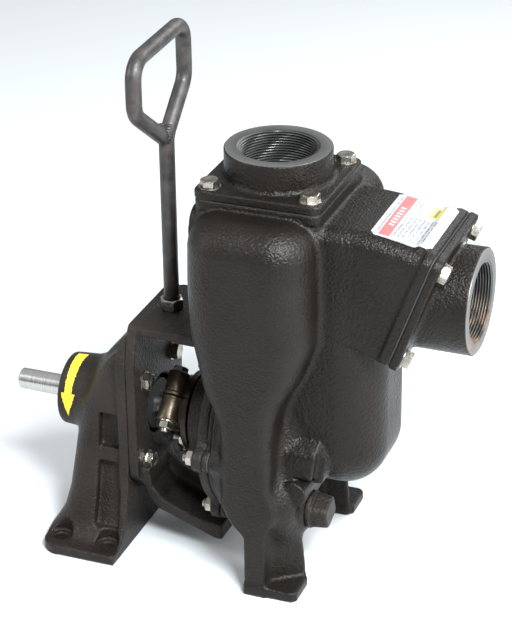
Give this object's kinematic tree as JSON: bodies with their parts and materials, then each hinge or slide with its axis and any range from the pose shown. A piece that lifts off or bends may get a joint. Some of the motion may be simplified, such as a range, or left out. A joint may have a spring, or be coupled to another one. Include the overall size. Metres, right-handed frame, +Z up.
{
  "type": "trash pump",
  "caption": "Self-priming bare-shaft trash pump on a bearing pedestal, with threaded top discharge and side suction ports, a split packing gland and a lifting handle.",
  "frame": {"origin": "middle of the pump's bounding box, at floor level", "axes": "+X runs along the shaft from the drive end to the suction port, +Z is up, and the shaft lies in the plane y = 0"},
  "size_m": [0.566, 0.256, 0.6234],
  "materials": {
    "casing_iron": "semi-gloss charcoal enamel on rough cast iron",
    "bracket_iron": "satin charcoal enamel on rough cast iron",
    "machined_iron": "turned and tapped grey iron under thin paint",
    "zinc_steel": "bright zinc plate",
    "shaft_steel": "ground",
    "bearing_steel": "polished",
    "gland_bronze": "dull oxidised bronze",
    "impeller_iron": "bare casting",
    "rod_steel": "thin dark paint on hot-rolled rod",
    "black_rubber": "matte",
    "packing_fibre": "greased braid",
    "label_vinyl": null,
    "gasket_sheet": "matte"
  },
  "bodies": {
    "frame": {"casing": "casing_iron", "wear_plate": "impeller_iron", "discharge_flange": "casing_iron", "discharge_gasket": "gasket_sheet", "discharge_bolts": "zinc_steel", "suction_flange": "casing_iron", "suction_gasket": "gasket_sheet", "suction_bolts": "zinc_steel", "valve_hinge_pin": "shaft_steel", "drain_plug": "bracket_iron", "back_plate": "bracket_iron", "back_gasket": "gasket_sheet", "packing_rings": "packing_fibre", "lantern_ring": "gland_bronze", "gland_studs": "zinc_steel", "adapter_bracket": "bracket_iron", "adapter_studs": "zinc_steel", "adapter_bolts": "zinc_steel", "bearing_pedestal": "bracket_iron", "drive_seal": "black_rubber", "inner_seal": "black_rubber", "drive_bearing_outer": "bearing_steel", "rear_bearing_outer": "bearing_steel", "bearing_snap_ring": "bearing_steel", "lifting_handle": "rod_steel", "handle_top_nut": "zinc_steel", "handle_bottom_nut": "zinc_steel", "label_plate": "label_vinyl"},
    "rotor": {"shaft": "shaft_steel", "impeller_key": "shaft_steel", "shaft_sleeve": "gland_bronze", "impeller": "impeller_iron", "impeller_washer": "zinc_steel", "impeller_screw": "zinc_steel", "water_slinger": "black_rubber", "drive_bearing_inner": "bearing_steel", "rear_bearing_inner": "bearing_steel"},
    "drive_cage": {"drive_bearing_balls": "bearing_steel"},
    "rear_cage": {"rear_bearing_balls": "bearing_steel"},
    "check_valve": {"valve_flapper": "black_rubber", "valve_weight": "impeller_iron", "valve_screw": "zinc_steel"},
    "gland": {"gland_upper_half": "gland_bronze", "gland_lower_half": "gland_bronze", "gland_clamp_bolts": "zinc_steel", "gland_nuts": "zinc_steel"}
  },
  "joints": [
    {"name": "shaft_spin", "type": "hinge", "parent": "frame", "child": "rotor", "pos_m": [0, 0, 0.156], "axis": [1, 0, 0], "continuous": true},
    {"name": "drive_cage_spin", "type": "hinge", "parent": "frame", "child": "drive_cage", "pos_m": [0, 0, 0.156], "axis": [1, 0, 0], "continuous": true},
    {"name": "rear_cage_spin", "type": "hinge", "parent": "frame", "child": "rear_cage", "pos_m": [0, 0, 0.156], "axis": [1, 0, 0], "continuous": true},
    {"name": "check_valve_swing", "type": "hinge", "parent": "frame", "child": "check_valve", "pos_m": [0.23029, 0, 0.41097], "axis": [0, 1, 0], "range_deg": [0, 50]},
    {"name": "gland_slide", "type": "slide", "parent": "frame", "child": "gland", "axis": [-1, 0, 0], "range_m": [0, 0.008]}
  ],
  "couplings": [
    {"joint": "drive_cage_spin", "follows": "shaft_spin", "ratio": 0.38},
    {"joint": "rear_cage_spin", "follows": "shaft_spin", "ratio": 0.38}
  ]
}
